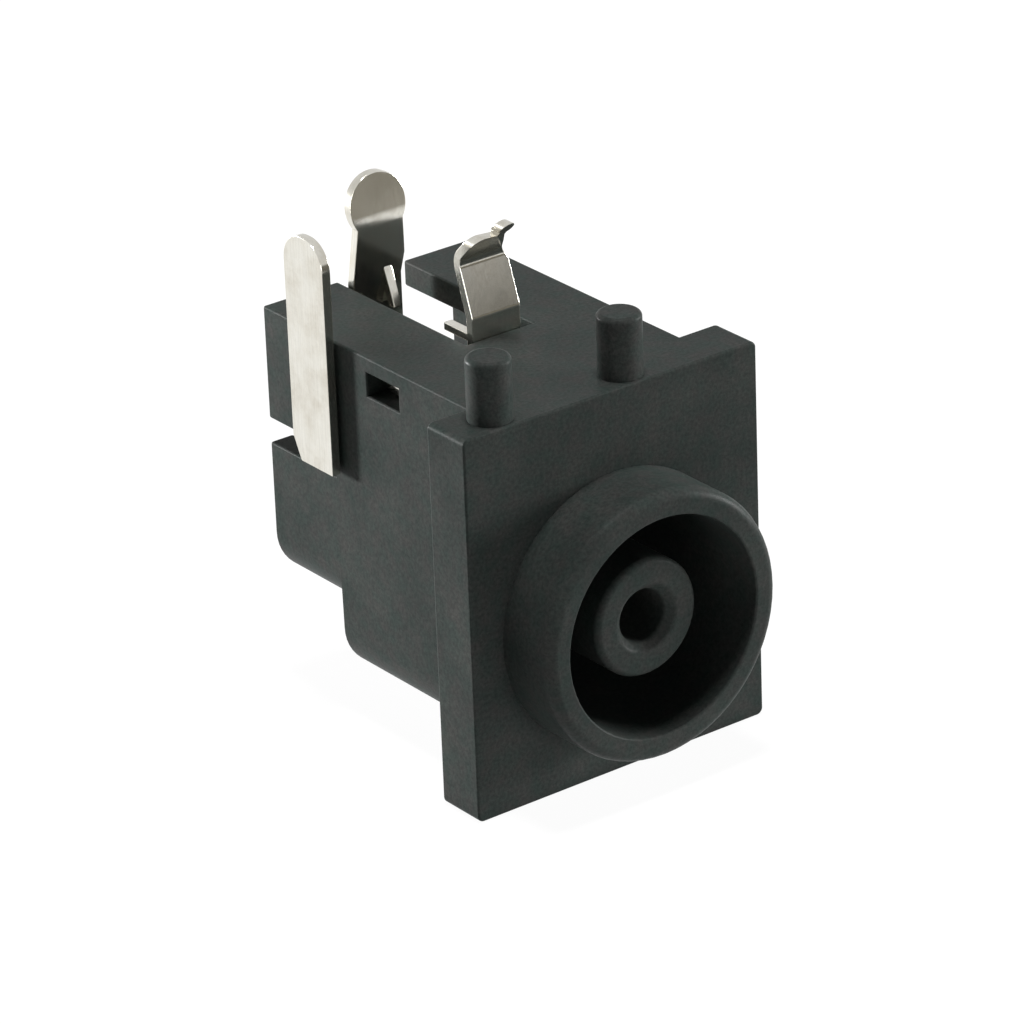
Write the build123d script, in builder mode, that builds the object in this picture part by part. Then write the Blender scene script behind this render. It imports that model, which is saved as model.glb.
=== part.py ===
"""Board-mount power socket for a round plug: one moulded housing and three bent metal contacts.

All sizes are in millimetres. The origin lies on the barrel axis in the front plane of the flange.
X is to the right seen from the plug, Y runs into the socket, Z points to the circuit board.
"""
import os
from build123d import *

# Plug, pin and the gaps around them
plug_d = 6.5
plug_gap = 0.1
pin_d = 1.4
pin_gap = 0.02
lead_gap = 0.1
clearance = 0.1

# Contact sheet and its inner bend radius
sheet = 0.3
bend = 0.35

# Flange and collar
collar_wall = 0.77
collar_reach = 2.1
collar_round = 0.35
flange_t = 1.7
flange_margin = 1.09
foot_margin = 1.14
flange_round = 0.2

# Body behind the flange
body_end = 11.56
step_y = 8.3
wall = 0.8
end_wall = 0.9
barrel_skin = 0.73
side_skin = 0.43
floor_gap = 0.31
chamber_front = 2.8
chamber_height = 1.72
foot_round = 1.5

# Post in the barrel
post_wall = 0.78
post_recess = 0.8
post_round = 0.2
lead_length = 2.0
lead_chamfer = 0.25

# Board pegs
peg_r = 0.66
peg_height = 1.9
peg_inset = 0.1
peg_left_x = -3.7
peg_right_x = 0.9
peg_round = 0.15

# Openings for the contacts
slot_gap = 0.34
slot_shift = 0.1
shelf_gap = 0.2
window_lead = 0.3
window_length = 1.5
window_height = 0.7
window_drop = 0.05
side_slot_gap = 0.25
side_slot_height = 0.765

# Terminal of the sleeve contact, heights above the board side
tail_w = 1.72
tail_y = 5.3
tail_knee = 0.7
tail_kink = 2.3
tail_kink_back = 0.55
tail_edge = 3.26
tail_corner = 0.3
tail_shoulder = 2.0
tail_flank = 2.8
tail_flank_x = 0.42
tail_tip = 3.64
tail_tip_forward = 0.8
tail_tip_r = 0.22
tail_tip_x = 0.08
tail_neck = 3.14
tail_neck_w = 0.26
ear_length = 1.4
ear_top = 0.2
ear_height = 0.25

# Spring and latch of the sleeve contact
spring_reach = 0.1
spring_rise = 1.4
spring_end = 0.7
latch_length = 1.0
latch_inset = 0.55

# Terminal of the centre contact, heights above the board side
strip_w = 1.48
strip_inset = 0.36
strip_bend = 1.6
head_r = 1.0
head_x = 0.06
head_top = 3.26
head_lean = 8.5
head_curve = 3.0
strip_taper = 1.8
flare_x = 0.9
flare_rise = 0.6
stop_drop = 0.3
barb_x = 0.1
barb_w = 0.3
barb_top = 0.32
barb_length = 1.16
barb_reach = 0.47

# Shunt contact: side blade, leg and arm
blade_w = 1.9
blade_inset = 1.81
blade_gap = 0.12
blade_top = 3.08
blade_flat = 0.14
blade_cut = 0.36
blade_cut_rise = 0.73
leg_drop = 1.65
arm_x = 1.6
arm_overlap = 0.5

# Sizes that follow from the plug
barrel_r = plug_d / 2 + plug_gap
collar_r = barrel_r + collar_wall
flange_w = 2 * (collar_r + flange_margin)
foot = collar_r + foot_margin
barrel_end = step_y - end_wall
shelf = barrel_r + barrel_skin
roof = shelf + chamber_height
board = roof + wall
body_x = barrel_r + side_skin
inner_x = body_x - wall

# Sizes that follow from the pin
socket_in = pin_d / 2 + pin_gap
socket_out = socket_in + sheet
lead_r = pin_d / 2 + lead_gap
post_r = socket_out + post_wall
post_front = post_recess - collar_reach
socket_front = post_front + lead_length
chamber_floor = -socket_out - floor_gap

# Places of the contacts
tail_x = tail_w / 2
slot_x = tail_x + slot_gap
base = roof - bend
spring_front = chamber_front + bend
spring_crest = barrel_r - spring_reach
spring_rest = shelf + sheet + clearance
spring_back = tail_y + spring_rise + spring_end
strip_x = strip_w / 2
stop_x = slot_x - slot_shift - clearance
strip_back = body_end - strip_inset
strip_front = strip_back - sheet
head_z = board + head_top - head_r
blade_round = (blade_w - blade_flat) / 2
blade_back = body_end - blade_inset
blade_front = blade_back - blade_w
blade_out = -body_x - blade_gap - sheet
leg_foot = spring_rest - sheet - leg_drop
leg_front = step_y + clearance
leg_back = blade_back - blade_cut
side_slot_front = leg_front - clearance
side_slot_floor = leg_foot - side_slot_gap


def facing(y):
    """Sketch plane seen from the plug, at depth y: sketch x is X and sketch y is Z."""
    return Plane.XZ.offset(-y)


# The moulded housing
with BuildPart() as housing:
    # Flange with the round collar in front of it
    with BuildSketch(facing(0)):
        with Locations((0, (board - foot) / 2)):
            RectangleRounded(flange_w, board + foot, flange_round)
    extrude(amount=-flange_t)
    with BuildSketch(facing(0)):
        Circle(collar_r)
    extrude(amount=collar_reach)
    fillet(housing.faces().sort_by(Axis.Y)[0].edges(), collar_round)
    # Front part of the body, around the barrel
    with BuildSketch(facing(flange_t)):
        with Locations((0, (board - shelf) / 2)):
            front_outline = Rectangle(2 * body_x, board + shelf)
        fillet(front_outline.vertices().group_by(Axis.Y)[0], foot_round)
    extrude(amount=flange_t - step_y)
    # Rear part of the body, around the contact chamber
    with BuildSketch(facing(step_y)):
        with Locations((0, (board + chamber_floor - wall) / 2)):
            rear_outline = Rectangle(2 * body_x, board - chamber_floor + wall)
        fillet(rear_outline.vertices().group_by(Axis.Y)[0], foot_round)
    extrude(amount=step_y - body_end)
    # Barrel for the plug, with the post standing in it
    with BuildSketch(facing(-collar_reach)):
        Circle(barrel_r)
    extrude(amount=-collar_reach - barrel_end, mode=Mode.SUBTRACT)
    with BuildSketch(facing(post_front)):
        Circle(post_r)
    extrude(amount=post_front - barrel_end)
    rings = housing.edges().filter_by(GeomType.CIRCLE)
    fillet(rings.filter_by_position(Axis.Y, post_front - clearance, post_front + clearance), post_round)
    # Contact chamber: a room at the rear, open at the back, and a shelf above the barrel
    with BuildSketch(facing(step_y)):
        with Locations((0, (roof + chamber_floor) / 2)):
            Rectangle(2 * inner_x, roof - chamber_floor)
    extrude(amount=step_y - body_end, mode=Mode.SUBTRACT)
    with BuildSketch(facing(chamber_front)):
        with Locations((0, (roof + shelf) / 2)):
            Rectangle(2 * inner_x, chamber_height)
    extrude(amount=chamber_front - step_y, mode=Mode.SUBTRACT)
    # Opening in the shelf through which the spring reaches the plug
    with BuildSketch(Plane.XY.offset(shelf)):
        with Locations((0, (chamber_front + barrel_end) / 2)):
            Rectangle(tail_w + 2 * shelf_gap, barrel_end - chamber_front)
    extrude(amount=post_r + clearance - shelf, mode=Mode.SUBTRACT)
    # Slot in the board side for the two middle terminals, open to the rear
    with BuildSketch(Plane.XY.offset(board)):
        with Locations((slot_shift, (tail_y + body_end) / 2)):
            Rectangle(2 * slot_x, body_end - tail_y)
    extrude(amount=-wall, mode=Mode.SUBTRACT)
    # Latch window in the left wall, and the slot for the side terminal's leg
    with BuildSketch(Plane.YZ.offset(-body_x)):
        with Locations((tail_y - window_lead + window_length / 2, base - window_drop + window_height / 2)):
            Rectangle(window_length, window_height)
        with Locations(((side_slot_front + body_end) / 2, side_slot_floor + side_slot_height / 2)):
            Rectangle(body_end - side_slot_front, side_slot_height)
    extrude(amount=wall, mode=Mode.SUBTRACT)
    # Bore of the post: a narrow lead for the pin and a wider seat for the rolled socket
    with BuildSketch(facing(post_front)):
        Circle(lead_r)
    extrude(amount=-lead_length, mode=Mode.SUBTRACT)
    with BuildSketch(facing(socket_front)):
        Circle(socket_out)
    extrude(amount=socket_front - step_y, mode=Mode.SUBTRACT)
    flat_faces = housing.faces().filter_by(Axis.Y)
    post_faces = flat_faces.filter_by_position(Axis.Y, post_front - clearance, post_front + clearance)
    chamfer(post_faces.edges().sort_by(SortBy.LENGTH)[0], lead_chamfer)
    # Locating pegs for the circuit board
    with BuildSketch(Plane.XY.offset(board)):
        with Locations((peg_left_x, peg_inset + peg_r), (peg_right_x, peg_inset + peg_r)):
            Circle(peg_r)
    extrude(amount=peg_height)
    fillet(housing.faces().group_by(Axis.Z)[-1].edges(), peg_round)
housing.part.label = "housing"

# Contact for the centre pin: rolled socket in the post, tongue, and rear terminal with a round head
with BuildPart() as centre_contact:
    with BuildSketch(Plane.YZ):
        with BuildLine():
            upright = FilletPolyline(
                (step_y, -socket_out),
                (strip_back, -socket_out),
                (strip_back, board + strip_bend),
                radius=bend + sheet,
            )
            lean = JernArc(upright @ 1, upright % 1, head_curve, -head_lean)
            Line(lean @ 1, lean @ 1 + head_top * (lean % 1))
            offset(amount=sheet, side=Side.LEFT)
        make_face()
    extrude(amount=slot_x, both=True)
    # Outline: round head, and a strip that widens up to it on the right and down to a stop on the left
    with BuildSketch(facing(body_end)):
        with Locations((head_x, head_z)):
            Circle(head_r)
        with Locations((0, (head_z - socket_out) / 2)):
            Rectangle(strip_w, head_z + socket_out)
        with BuildLine():
            Polyline(
                (-strip_x, board + strip_taper),
                (-stop_x, board),
                (-stop_x, board - stop_drop),
                (-strip_x, board - stop_drop),
                close=True,
            )
        make_face()
        with BuildLine():
            Polyline(
                (strip_x, board),
                (flare_x, board + flare_rise),
                (flare_x, head_z),
                (strip_x, head_z),
                close=True,
            )
        make_face()
    extrude(amount=body_end, both=True, mode=Mode.INTERSECT)
    # Locking barb pressed out of the strip towards the front
    with BuildSketch(Plane.YZ.offset(barb_x)):
        with BuildLine():
            Polyline(
                (strip_front, board + barb_top),
                (strip_front - barb_reach, board + barb_top - barb_length),
                (strip_back - barb_reach, board + barb_top - barb_length),
                (strip_back, board + barb_top),
                close=True,
            )
        make_face()
    extrude(amount=barb_w)
    with BuildSketch(facing(socket_front)):
        Circle(socket_out)
    extrude(amount=socket_front - step_y - end_wall)
    with BuildSketch(facing(socket_front)):
        Circle(socket_in)
        with Locations((0, socket_out / 2)):
            Rectangle(sheet, socket_out)
    extrude(amount=socket_front - step_y - end_wall, mode=Mode.SUBTRACT)
centre_contact.part.label = "centre_contact"

# Contact for the plug's sleeve: kinked terminal, base under the roof and spring over the barrel
with BuildPart() as sleeve_contact:
    with BuildSketch(Plane.YZ):
        with BuildLine():
            FilletPolyline(
                (tail_y - tail_tip_forward, board + tail_tip),
                (tail_y + tail_kink_back, board + tail_kink),
                (tail_y, board + tail_knee),
                (tail_y, base),
                (spring_front, base),
                (spring_front, base - 2 * bend - clearance),
                (tail_y, spring_crest),
                (tail_y + spring_rise, spring_rest),
                (spring_back, spring_rest),
                radius=bend,
            )
            offset(amount=sheet, side=Side.LEFT)
        make_face()
    extrude(amount=tail_x, both=True)
    # Outline of the terminal: round left corner, knob on a short neck, sloping right flank
    with BuildSketch(facing(tail_y)) as tail_outline:
        with BuildLine():
            Polyline(
                (-tail_x, 0),
                (-tail_x, board + tail_edge),
                (tail_tip_x - tail_neck_w / 2, board + tail_neck),
                (tail_tip_x - tail_neck_w / 2, board + tail_tip - tail_tip_r),
                (tail_tip_x + tail_neck_w / 2, board + tail_tip - tail_tip_r),
                (tail_tip_x + tail_neck_w / 2, board + tail_neck),
                (tail_flank_x, board + tail_flank),
                (tail_x, board + tail_shoulder),
                (tail_x, 0),
                close=True,
            )
        make_face()
        fillet(tail_outline.vertices().sort_by_distance((-tail_x, board + tail_edge))[0], tail_corner)
        with Locations((tail_tip_x, board + tail_tip - tail_tip_r)):
            Circle(tail_tip_r)
    extrude(amount=body_end, both=True, mode=Mode.INTERSECT)
    # Ear: a narrow bar folded back from the left edge of the terminal
    with BuildSketch(Plane.YZ.offset(-tail_x)):
        with Locations((tail_y + ear_length / 2, board + ear_top - ear_height / 2)):
            Rectangle(ear_length, ear_height)
    extrude(amount=sheet)
    # Latch: an arm to the left wall, its end stepped up into the window
    with BuildSketch(facing(tail_y)):
        with BuildLine():
            Polyline(
                (-tail_x, base - sheet),
                (-tail_x, base),
                (sheet - inner_x, base),
                (sheet - inner_x, base + sheet),
                (latch_inset - body_x, base + sheet),
                (latch_inset - body_x, base),
                (-inner_x, base),
                (-inner_x, base - sheet),
                close=True,
            )
        make_face()
    extrude(amount=-latch_length)
sleeve_contact.part.label = "sleeve_contact"

# Shunt contact: flat side terminal, leg through the left wall and arm under the end of the spring
with BuildPart() as shunt_contact:
    # Flat blade beside the wall: round top, and a foot whose rear corner is cut off
    with BuildSketch(Plane.YZ.offset(blade_out)) as blade_outline:
        with BuildLine():
            Polyline(
                (blade_front, leg_foot),
                (leg_back, leg_foot),
                (blade_back, leg_foot + blade_cut_rise),
                (blade_back, board + blade_top),
                (blade_front, board + blade_top),
                close=True,
            )
        make_face()
        fillet(blade_outline.vertices().group_by(Axis.Y)[-1], blade_round)
    extrude(amount=sheet)
    # Leg from the blade's foot through the wall, and up to the arm
    with BuildSketch(facing(leg_front)):
        with BuildLine():
            FilletPolyline(
                (blade_out, leg_foot),
                (-arm_x, leg_foot),
                (-arm_x, spring_rest - sheet),
                radius=bend + sheet,
            )
            offset(amount=sheet, side=Side.LEFT)
        make_face()
    extrude(amount=leg_front - leg_back)
    # Arm on which the end of the spring rests
    with BuildSketch(Plane.XY.offset(spring_rest - sheet)):
        with Locations(((tail_x - arm_x - sheet) / 2, (spring_back - arm_overlap + leg_back) / 2)):
            Rectangle(tail_x + arm_x + sheet, leg_back - spring_back + arm_overlap)
    extrude(amount=sheet)
shunt_contact.part.label = "shunt_contact"

os.makedirs("parts", exist_ok=True)
export_step(housing.part, "parts/housing.step")
export_step(centre_contact.part, "parts/centre_contact.step")
export_step(sleeve_contact.part, "parts/sleeve_contact.step")
export_step(shunt_contact.part, "parts/shunt_contact.step")
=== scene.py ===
"""Looks of the board-mount power socket: rounded moulded housing, plated contacts, white studio."""
import math

import bmesh
import bpy
from mathutils import Matrix, Vector

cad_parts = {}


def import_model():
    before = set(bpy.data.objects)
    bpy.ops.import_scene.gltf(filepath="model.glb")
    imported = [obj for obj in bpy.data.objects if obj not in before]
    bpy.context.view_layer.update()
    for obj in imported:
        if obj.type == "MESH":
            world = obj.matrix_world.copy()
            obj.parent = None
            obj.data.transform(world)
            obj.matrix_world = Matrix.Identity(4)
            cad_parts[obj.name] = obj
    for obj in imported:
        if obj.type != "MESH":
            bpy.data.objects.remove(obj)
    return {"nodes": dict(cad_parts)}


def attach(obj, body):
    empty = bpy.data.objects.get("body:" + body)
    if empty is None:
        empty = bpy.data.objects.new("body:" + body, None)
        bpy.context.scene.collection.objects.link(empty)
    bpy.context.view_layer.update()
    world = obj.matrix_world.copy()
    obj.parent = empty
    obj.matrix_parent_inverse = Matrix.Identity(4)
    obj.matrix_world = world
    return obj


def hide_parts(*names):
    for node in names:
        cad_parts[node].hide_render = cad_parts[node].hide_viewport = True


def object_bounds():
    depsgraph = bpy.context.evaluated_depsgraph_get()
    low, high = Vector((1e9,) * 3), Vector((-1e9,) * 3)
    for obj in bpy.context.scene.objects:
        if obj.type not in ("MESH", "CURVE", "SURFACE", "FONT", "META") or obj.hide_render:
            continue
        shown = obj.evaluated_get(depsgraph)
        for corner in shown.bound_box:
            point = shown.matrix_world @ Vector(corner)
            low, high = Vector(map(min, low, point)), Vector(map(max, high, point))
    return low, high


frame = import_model()
cad_low, cad_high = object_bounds()

MM = 0.001

# Rounding of the edges
PLASTIC_ROUNDING = 0.07 * MM
PLASTIC_STEPS = 3
METAL_ROUNDING = 0.035 * MM
METAL_STEPS = 2
# Outer edges sharper than this are rounded
ROUNDED_FROM = math.radians(32)
# Faces that meet flatter than this become one
MERGED_BELOW = math.radians(0.4)
# Two faces share their normals if the edge between them is gentler than these, inwards or outwards
GENTLE_INWARD = math.radians(-19)
GENTLE_OUTWARD = math.radians(40)
# Axis and place of straight cuts that pass through the holes in the flat faces
CUTS = ((0, 0.0), (1, 0.76 * MM), (2, 5.675 * MM))
SAME_POINT = 1e-7
ON_CUT = 1e-8

# Studio: brightness in shares of white, the rest in metres
FLOOR_WHITE = 0.95
FLOOR_SHADOW = 0.09
FLOOR_BOUNCE = 0.4
FLOOR_LIGHT = 0.15
FLOOR_REACH = 1.5
FLOOR_GAP = 0.02 * MM
WORLD_WHITE = 1.0
WORLD_LIGHT = 0.02
PART_CENTRE = Vector((0, 4, 2)) * MM
LAMP_DISTANCE = 0.20
GREY_CARD_DISTANCE = 0.07
GREY_CARD_HALF = Vector((50, 12.8)) * MM
REFLECTOR_HALF = Vector((9, 4)) * MM
REFLECTOR_GAP = 0.3 * MM

# Camera fitted to the photograph: angles in degrees, focal length in pixels of the picture
CAMERA_AZIMUTH = -36.5024
CAMERA_ELEVATION = 24.9763
CAMERA_ROLL = -2.2171
CAMERA_DISTANCE = 163.4774 * MM
CAMERA_ASIDE = -2.7956 * MM
CAMERA_ABOVE = -3.3853 * MM
CAMERA_AIM = Vector((0, 0, 6.59)) * MM
CAMERA_CLIP = (0.005, 10)
FOCAL_PIXELS = 5859.98
PICTURE_PIXELS = 1024
SENSOR_WIDTH = 36

# Colour sockets of a Mix node, which share their names with its other sockets
MIX_COLOURS = (6, 7)
MIX_RESULT = 2

# Range that most values of a noise lie in
NOISE_LOW = 0.3
NOISE_HIGH = 0.7


# Node helpers

def new_material(name):
    """A material with an empty node tree: (material, tree)."""
    material = bpy.data.materials.new(name)
    material.use_nodes = True
    material.node_tree.nodes.clear()
    return material, material.node_tree


def show_surface(tree, shader):
    """Links a shader socket to the output of a material."""
    output = tree.nodes.new("ShaderNodeOutputMaterial")
    tree.links.new(shader, output.inputs["Surface"])


def object_place(tree):
    """Socket of the place in the object's own frame."""
    return tree.nodes.new("ShaderNodeTexCoord").outputs["Object"]


def noise(tree, vector, size, detail, roughness=0.55):
    """Noise whose grains are about size metres wide; returns its value socket."""
    node = tree.nodes.new("ShaderNodeTexNoise")
    node.inputs["Scale"].default_value = 1 / size
    node.inputs["Detail"].default_value = detail
    node.inputs["Roughness"].default_value = roughness
    tree.links.new(vector, node.inputs["Vector"])
    return node.outputs["Fac"]


def ramp(tree, value, stops):
    """Colour ramp over (position, colour) stops; returns its colour socket."""
    node = tree.nodes.new("ShaderNodeValToRGB")
    elements = node.color_ramp.elements
    while len(elements) < len(stops):
        elements.new(0.5)
    for element, (position, colour) in zip(elements, stops):
        element.position = position
        element.color = (*colour, 1)
    tree.links.new(value, node.inputs["Fac"])
    return node.outputs["Color"]


def span(tree, value, start, end, low, high):
    """Maps start..end of a value to low..high and holds it there; returns the value socket."""
    node = tree.nodes.new("ShaderNodeMapRange")
    node.inputs["From Min"].default_value = start
    node.inputs["From Max"].default_value = end
    node.inputs["To Min"].default_value = low
    node.inputs["To Max"].default_value = high
    tree.links.new(value, node.inputs["Value"])
    return node.outputs["Result"]


def multiply(tree, share, one, other):
    """Multiplies a colour socket by a share of another; returns the colour socket."""
    node = tree.nodes.new("ShaderNodeMix")
    node.data_type = "RGBA"
    node.blend_type = "MULTIPLY"
    node.inputs["Factor"].default_value = share
    for index, colour in zip(MIX_COLOURS, (one, other)):
        tree.links.new(colour, node.inputs[index])
    return node.outputs[MIX_RESULT]


def bump(tree, height, strength, distance, before=None):
    """Bump from a height socket, over an earlier bump; returns the normal socket."""
    node = tree.nodes.new("ShaderNodeBump")
    node.inputs["Strength"].default_value = strength
    node.inputs["Distance"].default_value = distance
    tree.links.new(height, node.inputs["Height"])
    if before is not None:
        tree.links.new(before, node.inputs["Normal"])
    return node.outputs["Normal"]


def mix_shaders(tree, share, one, other):
    """Goes from one shader socket to another as the share socket goes from 0 to 1."""
    node = tree.nodes.new("ShaderNodeMixShader")
    for socket, source in zip(node.inputs, (share, one, other)):
        tree.links.new(source, socket)
    return node.outputs["Shader"]


# Materials

def plastic():
    """Dark moulded plastic with a fine eroded grain, cloudy shades and a faint red and green mottle."""
    material, tree = new_material("moulded_plastic")
    place = object_place(tree)
    cloud = noise(tree, place, size=2.2 * MM, detail=4)
    mottle = noise(tree, place, size=0.55 * MM, detail=3)
    grain = noise(tree, place, size=0.11 * MM, detail=4, roughness=0.7)
    speck = noise(tree, place, size=0.045 * MM, detail=2, roughness=0.6)
    shade = ramp(tree, cloud, [
        (0.30, (0.030, 0.036, 0.034)),
        (0.52, (0.037, 0.042, 0.040)),
        (0.74, (0.045, 0.050, 0.047)),
    ])
    grains = ramp(tree, grain, [(0.34, (0.72, 0.74, 0.73)), (0.66, (1.28, 1.26, 1.24))])
    tints = ramp(tree, mottle, [(0.34, (0.90, 1.03, 1.0)), (0.66, (1.10, 0.98, 1.0))])
    colour = multiply(tree, 0.8, shade, grains)
    colour = multiply(tree, 0.8, colour, tints)
    roughness = span(tree, cloud, NOISE_LOW, NOISE_HIGH, low=0.34, high=0.46)
    coarse = bump(tree, grain, strength=0.35, distance=0.010 * MM)
    fine = bump(tree, speck, strength=0.25, distance=0.005 * MM, before=coarse)
    surface = tree.nodes.new("ShaderNodeBsdfPrincipled")
    surface.inputs["Specular IOR Level"].default_value = 0.03
    tree.links.new(colour, surface.inputs["Base Color"])
    tree.links.new(roughness, surface.inputs["Roughness"])
    tree.links.new(fine, surface.inputs["Normal"])
    show_surface(tree, surface.outputs["BSDF"])
    return material


def plating():
    """Tin-plated sheet: warm silver, rolling streaks, cloudy roughness and a little tarnish."""
    material, tree = new_material("tin_plating")
    place = object_place(tree)
    stretch = tree.nodes.new("ShaderNodeMapping")
    stretch.inputs["Scale"].default_value = (1.0, 1.0, 0.06)
    tree.links.new(place, stretch.inputs["Vector"])
    streak = noise(tree, stretch.outputs["Vector"], size=0.07 * MM, detail=3, roughness=0.6)
    cloud = noise(tree, place, size=0.9 * MM, detail=4, roughness=0.6)
    grain = noise(tree, place, size=0.06 * MM, detail=3, roughness=0.65)
    shade = ramp(tree, cloud, [
        (0.30, (0.63, 0.60, 0.53)),
        (0.50, (0.73, 0.71, 0.645)),
        (0.72, (0.79, 0.775, 0.72)),
    ])
    lines = ramp(tree, streak, [(0.32, (0.91, 0.91, 0.90)), (0.68, (1.04, 1.04, 1.03))])
    colour = multiply(tree, 0.7, shade, lines)
    roughness = span(tree, cloud, NOISE_LOW, NOISE_HIGH, low=0.19, high=0.13)
    rolled = bump(tree, streak, strength=0.06, distance=0.003 * MM)
    fine = bump(tree, grain, strength=0.06, distance=0.003 * MM, before=rolled)
    surface = tree.nodes.new("ShaderNodeBsdfPrincipled")
    surface.inputs["Metallic"].default_value = 1.0
    tree.links.new(colour, surface.inputs["Base Color"])
    tree.links.new(roughness, surface.inputs["Roughness"])
    tree.links.new(fine, surface.inputs["Normal"])
    show_surface(tree, surface.outputs["BSDF"])
    return material


# Pieces: copies of the nodes with merged faces and rounded edges

def show(piece):
    """Puts an object into the scene."""
    bpy.context.scene.collection.objects.link(piece)


def merged_copy(node):
    """A copy of a node's mesh: flat faces merged, sharp outer edges marked for rounding."""
    mesh = frame["nodes"][node].data.copy()
    shape = bmesh.new()
    shape.from_mesh(mesh)
    bmesh.ops.remove_doubles(shape, verts=shape.verts, dist=SAME_POINT)
    for axis, place in CUTS:
        point = Vector((0, 0, 0))
        point[axis] = place
        normal = Vector((0, 0, 0))
        normal[axis] = 1
        parts = shape.verts[:] + shape.edges[:] + shape.faces[:]
        cut = bmesh.ops.bisect_plane(shape, geom=parts, dist=ON_CUT, plane_co=point, plane_no=normal)
        for item in cut["geom_cut"]:
            if isinstance(item, bmesh.types.BMEdge):
                item.seam = True
    bmesh.ops.dissolve_limit(
        shape, angle_limit=MERGED_BELOW, verts=shape.verts, edges=shape.edges, delimit={"SEAM"}
    )
    weight = shape.edges.layers.float.new("bevel_weight_edge")
    for edge in shape.edges:
        if len(edge.link_faces) == 2 and edge.calc_face_angle_signed() > ROUNDED_FROM:
            edge[weight] = 1.0
    for face in shape.faces:
        face.smooth = True
    shape.to_mesh(mesh)
    shape.free()
    return mesh


def round_edges(piece, width, steps):
    """Rounds the marked edges of a piece by width metres and keeps the result as its mesh."""
    sharp = piece.data
    rounding = piece.modifiers.new("rounding", "BEVEL")
    rounding.limit_method = "WEIGHT"
    rounding.width = width
    rounding.segments = steps
    rounding.use_clamp_overlap = False
    rounding.miter_outer = "MITER_ARC"
    bpy.context.view_layer.update()
    seen = piece.evaluated_get(bpy.context.evaluated_depsgraph_get())
    piece.data = bpy.data.meshes.new_from_object(seen)
    piece.modifiers.clear()
    bpy.data.meshes.remove(sharp)
    piece.data.name = piece.name


def gentle(edge):
    """Whether the two faces at an edge share their normals."""
    return len(edge.link_faces) == 2 and GENTLE_INWARD < edge.calc_face_angle_signed() < GENTLE_OUTWARD


def smooth_groups(vert):
    """The faces around a corner point, in groups that gentle edges join."""
    left = set(vert.link_faces)
    while left:
        group = [left.pop()]
        for face in group:
            for edge in vert.link_edges:
                if face not in edge.link_faces or not gentle(edge):
                    continue
                for other in edge.link_faces:
                    if other in left:
                        left.remove(other)
                        group.append(other)
        yield group


def smooth_corners(mesh):
    """Sets corner normals: the faces of a smooth group share them, and the larger face counts more."""
    shape = bmesh.new()
    shape.from_mesh(mesh)
    corners = [None] * len(mesh.loops)
    for vert in shape.verts:
        for group in smooth_groups(vert):
            normal = Vector((0, 0, 0))
            for face in group:
                normal += (face.calc_area() / MM ** 2) ** 2 * face.normal
            for face in group:
                polygon = mesh.polygons[face.index]
                place = list(polygon.vertices).index(vert.index)
                corners[polygon.loop_indices[place]] = normal.normalized()
    shape.free()
    mesh.normals_split_custom_set(corners)


def rounded(node, name, width, steps, material):
    """A copy of a node with its sharp edges rounded by width metres; stands for the node."""
    mesh = merged_copy(node)
    mesh.materials.clear()
    mesh.materials.append(material)
    piece = bpy.data.objects.new(name, mesh)
    show(piece)
    round_edges(piece, width, steps)
    smooth_corners(piece.data)
    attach(piece, "root")
    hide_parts(node)


# Studio: floor that is white to the eye and keeps the shadow, white world, four soft lamps, two cards

def seen_directly(tree):
    """1 for camera, glossy and transmission rays, 0 for the rest."""
    path = tree.nodes.new("ShaderNodeLightPath")
    seen = path.outputs["Is Camera Ray"]
    for name in ("Is Glossy Ray", "Is Transmission Ray"):
        larger = tree.nodes.new("ShaderNodeMath")
        larger.operation = "MAXIMUM"
        tree.links.new(seen, larger.inputs[0])
        tree.links.new(path.outputs[name], larger.inputs[1])
        seen = larger.outputs[0]
    return seen


def from_front(tree, shader):
    """A shader socket that keeps the front of a face and leaves its back clear."""
    back = tree.nodes.new("ShaderNodeNewGeometry").outputs["Backfacing"]
    clear = tree.nodes.new("ShaderNodeBsdfTransparent").outputs["BSDF"]
    return mix_shaders(tree, back, shader, clear)


def glowing_paper(tree, colour, strength):
    """Paper of a grey colour that also glows; returns the shader socket."""
    paper = tree.nodes.new("ShaderNodeBsdfDiffuse")
    paper.inputs["Color"].default_value = (colour, colour, colour, 1)
    glow = tree.nodes.new("ShaderNodeEmission")
    glow.inputs["Strength"].default_value = strength
    both = tree.nodes.new("ShaderNodeAddShader")
    tree.links.new(paper.outputs["BSDF"], both.inputs[0])
    tree.links.new(glow.outputs["Emission"], both.inputs[1])
    return both.outputs["Shader"]


def floor():
    """Floor that the eye sees white with a faint shadow, and that lights the part like grey paper."""
    material, tree = new_material("studio_floor")
    lighting = glowing_paper(tree, FLOOR_BOUNCE, FLOOR_LIGHT)
    looks = glowing_paper(tree, FLOOR_SHADOW, FLOOR_WHITE)
    both = mix_shaders(tree, seen_directly(tree), lighting, looks)
    show_surface(tree, from_front(tree, both))
    x = y = FLOOR_REACH
    z = cad_low.z - FLOOR_GAP
    mesh = bpy.data.meshes.new("floor")
    mesh.from_pydata([(-x, -y, z), (x, -y, z), (x, y, z), (-x, y, z)], [], [(0, 1, 2, 3)])
    mesh.materials.append(material)
    piece = bpy.data.objects.new("floor", mesh)
    show(piece)


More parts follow.
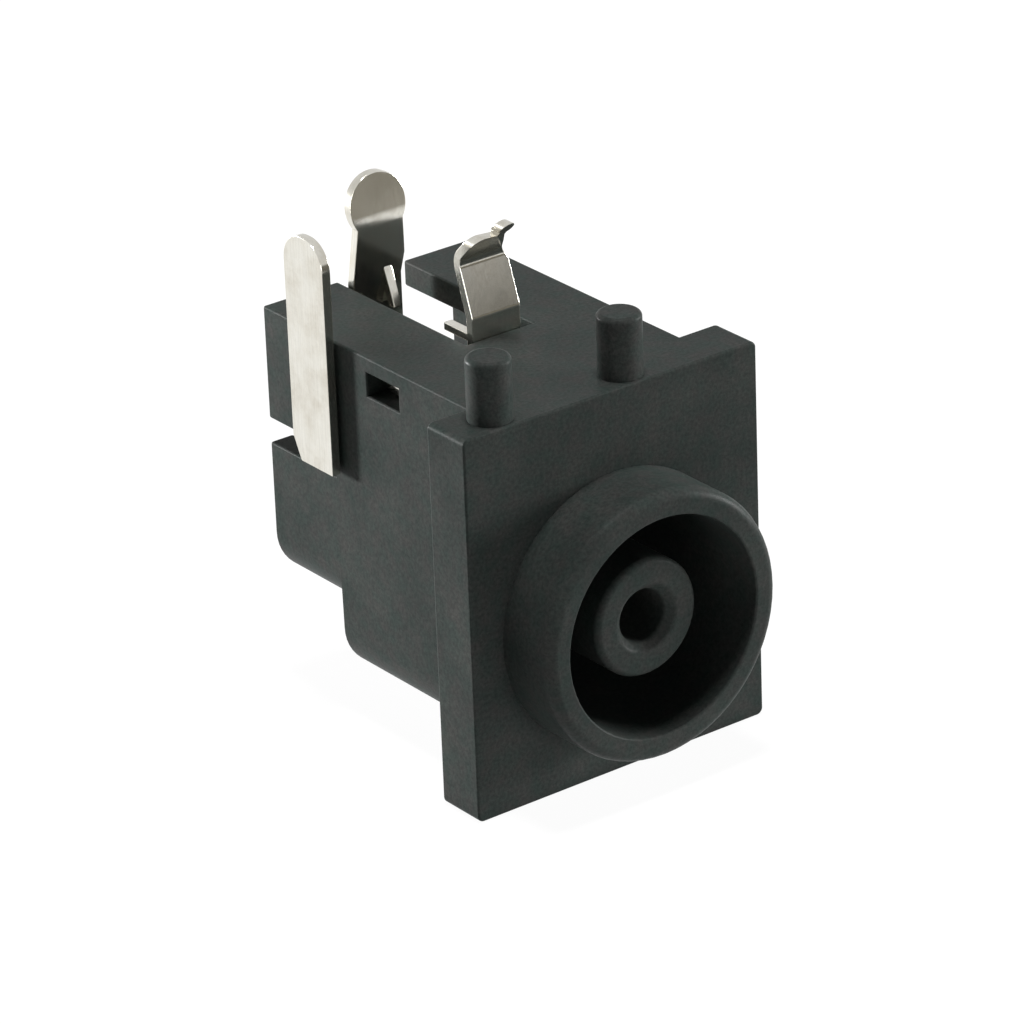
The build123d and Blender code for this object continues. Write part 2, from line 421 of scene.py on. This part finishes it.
def world():
    """World that is white where it is seen or mirrored, and lights the part only a little."""
    sky = bpy.data.worlds.new("studio")
    bpy.context.scene.world = sky
    sky.use_nodes = True
    tree = sky.node_tree
    tree.nodes.clear()
    back = tree.nodes.new("ShaderNodeBackground")
    strength = span(tree, seen_directly(tree), 0, 1, low=WORLD_LIGHT, high=WORLD_WHITE)
    tree.links.new(strength, back.inputs["Strength"])
    output = tree.nodes.new("ShaderNodeOutputWorld")
    tree.links.new(back.outputs["Background"], output.inputs["Surface"])


def towards(azimuth, elevation):
    """Direction from the part; azimuth 0 is the plug's side, 90 the right, both in degrees."""
    a, e = math.radians(azimuth), math.radians(elevation)
    return Vector((math.sin(a) * math.cos(e), -math.cos(a) * math.cos(e), math.sin(e)))


def face_part(piece, azimuth, elevation, distance):
    """Places a lamp or card at a distance from the part, turned to it."""
    back = towards(azimuth, elevation)
    piece.location = PART_CENTRE + distance * back
    piece.rotation_euler = back.to_track_quat("Z", "Y").to_euler()


def lamp(name, azimuth, elevation, size, power):
    """Round soft lamp of a size in metres and a power in watts."""
    data = bpy.data.lights.new(name, "AREA")
    data.shape = "DISK"
    data.size = size
    data.energy = power
    piece = bpy.data.objects.new(name, data)
    face_part(piece, azimuth, elevation, LAMP_DISTANCE)
    show(piece)


def card(name, half, near, far, colour):
    """Sheet that glows to its -Z side, unseen by the camera: near at its -Y edge, far at its +Y edge."""
    material, tree = new_material(name)
    place = tree.nodes.new("ShaderNodeSeparateXYZ")
    tree.links.new(object_place(tree), place.inputs["Vector"])
    strength = span(tree, place.outputs["Y"], -half.y, half.y, low=near, high=far)
    glow = tree.nodes.new("ShaderNodeEmission")
    glow.inputs["Color"].default_value = (*colour, 1)
    tree.links.new(strength, glow.inputs["Strength"])
    show_surface(tree, from_front(tree, glow.outputs["Emission"]))
    x, y = half
    mesh = bpy.data.meshes.new(name)
    mesh.from_pydata([(-x, -y, 0), (x, -y, 0), (x, y, 0), (-x, y, 0)], [], [(3, 2, 1, 0)])
    mesh.materials.append(material)
    piece = bpy.data.objects.new(name, mesh)
    piece.visible_camera = False
    piece.visible_shadow = False
    show(piece)
    return piece


def cards():
    """What the terminals mirror in front on the right, and a reflector on the floor for the lower front."""
    grey = card("grey_card", GREY_CARD_HALF, near=0.245, far=0.10, colour=(1.0, 0.92, 0.75))
    face_part(grey, azimuth=33, elevation=4.7, distance=GREY_CARD_DISTANCE)
    reflector = card("reflector", REFLECTOR_HALF, near=1.0, far=1.0, colour=(1.0, 1.0, 1.0))
    reflector.location = (0, -REFLECTOR_GAP - REFLECTOR_HALF.y, cad_low.z)
    reflector.rotation_euler = (math.pi, 0, 0)


def camera():
    """Camera at the photograph's angle, as it was fitted to the edges seen there."""
    azimuth, roll = math.radians(CAMERA_AZIMUTH), math.radians(CAMERA_ROLL)
    back = towards(CAMERA_AZIMUTH, CAMERA_ELEVATION)
    level_right = Vector((math.cos(azimuth), math.sin(azimuth), 0))
    level_up = back.cross(level_right)
    right = math.cos(roll) * level_right + math.sin(roll) * level_up
    up = math.cos(roll) * level_up - math.sin(roll) * level_right
    eye = CAMERA_AIM + CAMERA_DISTANCE * back + CAMERA_ASIDE * right + CAMERA_ABOVE * up
    data = bpy.data.cameras.new("camera")
    data.sensor_width = SENSOR_WIDTH
    data.lens = SENSOR_WIDTH * FOCAL_PIXELS / PICTURE_PIXELS
    data.clip_start, data.clip_end = CAMERA_CLIP
    piece = bpy.data.objects.new("camera", data)
    turn = Matrix((right, up, back)).transposed()
    piece.matrix_world = Matrix.Translation(eye) @ turn.to_4x4()
    show(piece)
    bpy.context.scene.camera = piece


plastic_look = plastic()
metal_look = plating()
rounded("housing", "housing_shell", PLASTIC_ROUNDING, PLASTIC_STEPS, plastic_look)
rounded("centre_contact", "centre_terminal", METAL_ROUNDING, METAL_STEPS, metal_look)
rounded("sleeve_contact", "sleeve_terminal", METAL_ROUNDING, METAL_STEPS, metal_look)
rounded("shunt_contact", "shunt_blade", METAL_ROUNDING, METAL_STEPS, metal_look)

floor()
world()
cards()
lamp("key_back_left", azimuth=-153, elevation=3, size=0.03, power=0.98)
lamp("top", azimuth=0, elevation=88, size=0.04, power=0.35)
lamp("right", azimuth=70, elevation=3, size=0.08, power=0.58)
lamp("front", azimuth=-2, elevation=5, size=0.08, power=0.10)
camera()
bpy.context.scene.view_settings.view_transform = "Standard"
